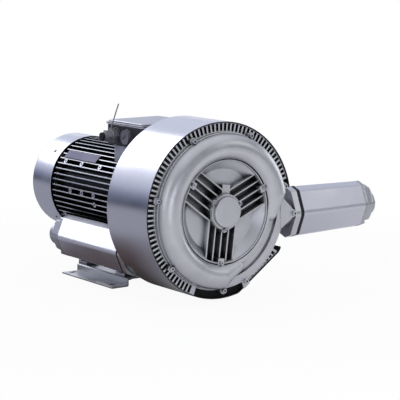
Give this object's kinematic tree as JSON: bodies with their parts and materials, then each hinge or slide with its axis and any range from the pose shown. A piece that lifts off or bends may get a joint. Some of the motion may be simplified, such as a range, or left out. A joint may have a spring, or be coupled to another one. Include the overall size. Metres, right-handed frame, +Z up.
{
  "type": "side channel blower",
  "caption": "Side channel blower: ribbed cast front in a sheet drum, finned motor with cowl, terminal box, hexagonal silencers with threaded ports, slotted foot rails.",
  "frame": {"origin": "on the floor, at the centre of the four foot slots, under the shaft's line", "axes": "+X to the right seen from the ribbed front, out of the inlet silencer's port; +Y backwards along the shaft to the fan cowl; +Z up"},
  "size_m": [0.84, 0.847, 0.5402],
  "materials": {
    "cast_casing": "as cast, satin",
    "drum_sheet": "satin sheet",
    "grille_sheet": "punched sheet",
    "motor_paint": "cast, thin silver paint",
    "cowl_paint": "silver paint",
    "impeller_cast": "machined casting",
    "shaft_steel": "ground",
    "bearing_steel": "ground",
    "screw_steel": "zinc plated",
    "black_rubber": "moulded",
    "stator_steel": "laminated",
    "winding_copper": "enamelled wire",
    "fan_plastic": "moulded",
    "plate_metal": "satin",
    "box_paint": "cast, dark grey paint",
    "lid_metal": "cast, silver paint",
    "board_plastic": "moulded",
    "gland_plastic": "moulded",
    "tie_plastic": "nylon",
    "silencer_metal": "satin extrusion",
    "cap_metal": "cast, satin",
    "sleeve_steel": "sheet",
    "silencer_foam": "open foam",
    "rail_zinc": "galvanised sheet",
    "bracket_cast": "as cast"
  },
  "bodies": {
    "housing": {"front_cover": "cast_casing", "middle_casing": "cast_casing", "rear_casing": "cast_casing", "bearing_cap": "cast_casing", "rear_shield": "cast_casing", "drum_band": "drum_sheet", "outlet_grille": "grille_sheet", "corner_grille": "grille_sheet", "motor_housing": "motor_paint", "fan_cowl": "cowl_paint", "front_bearing_outer": "bearing_steel", "rear_bearing_outer": "bearing_steel", "cap_screws": "screw_steel", "recess_screws": "screw_steel", "cover_bolts": "screw_steel", "rear_bolts": "screw_steel", "motor_bolts": "screw_steel", "cowl_screws": "screw_steel", "lid_screws": "screw_steel", "right_silencer_screws": "screw_steel", "left_silencer_screws": "screw_steel", "pad_bolts": "screw_steel", "shelf_bolts": "screw_steel", "rear_seal": "black_rubber", "lid_gasket": "black_rubber", "gland_plug": "black_rubber", "right_silencer_gasket": "black_rubber", "left_silencer_gasket": "black_rubber", "stator_core": "stator_steel", "stator_winding": "winding_copper", "rating_plate": "plate_metal", "terminal_box": "box_paint", "terminal_lid": "lid_metal", "terminal_board": "board_plastic", "cable_gland": "gland_plastic", "blanking_plug": "gland_plastic", "cable_tie": "tie_plastic", "right_silencer_shell": "silencer_metal", "left_silencer_shell": "silencer_metal", "right_silencer_cap": "cap_metal", "left_silencer_cap": "cap_metal", "right_silencer_pipe": "sleeve_steel", "left_silencer_pipe": "sleeve_steel", "right_silencer_foam": "silencer_foam", "left_silencer_foam": "silencer_foam", "left_foot_rail": "rail_zinc", "right_foot_rail": "rail_zinc", "foot_brackets": "bracket_cast"},
    "rotor": {"shaft": "shaft_steel", "impeller_stage_1": "impeller_cast", "impeller_stage_2": "impeller_cast", "impeller_spacer": "shaft_steel", "impeller_nut": "shaft_steel", "impeller_key": "shaft_steel", "front_bearing_inner": "bearing_steel", "rear_bearing_inner": "bearing_steel", "rotor_core": "stator_steel", "cooling_fan": "fan_plastic"},
    "front_cage": {"front_ball_cage": "bearing_steel"},
    "rear_cage": {"rear_ball_cage": "bearing_steel"}
  },
  "joints": [
    {"name": "rotor_spin", "type": "hinge", "parent": "housing", "child": "rotor", "pos_m": [0, -0.478, 0.26], "axis": [0, 1, 0], "continuous": true},
    {"name": "front_cage_spin", "type": "hinge", "parent": "housing", "child": "front_cage", "pos_m": [0, -0.4815, 0.26], "axis": [0, 1, 0], "continuous": true},
    {"name": "rear_cage_spin", "type": "hinge", "parent": "housing", "child": "rear_cage", "pos_m": [0, 0.2335, 0.26], "axis": [0, 1, 0], "continuous": true}
  ],
  "couplings": [
    {"joint": "front_cage_spin", "follows": "rotor_spin", "ratio": 0.3892},
    {"joint": "rear_cage_spin", "follows": "rotor_spin", "ratio": 0.3892}
  ]
}
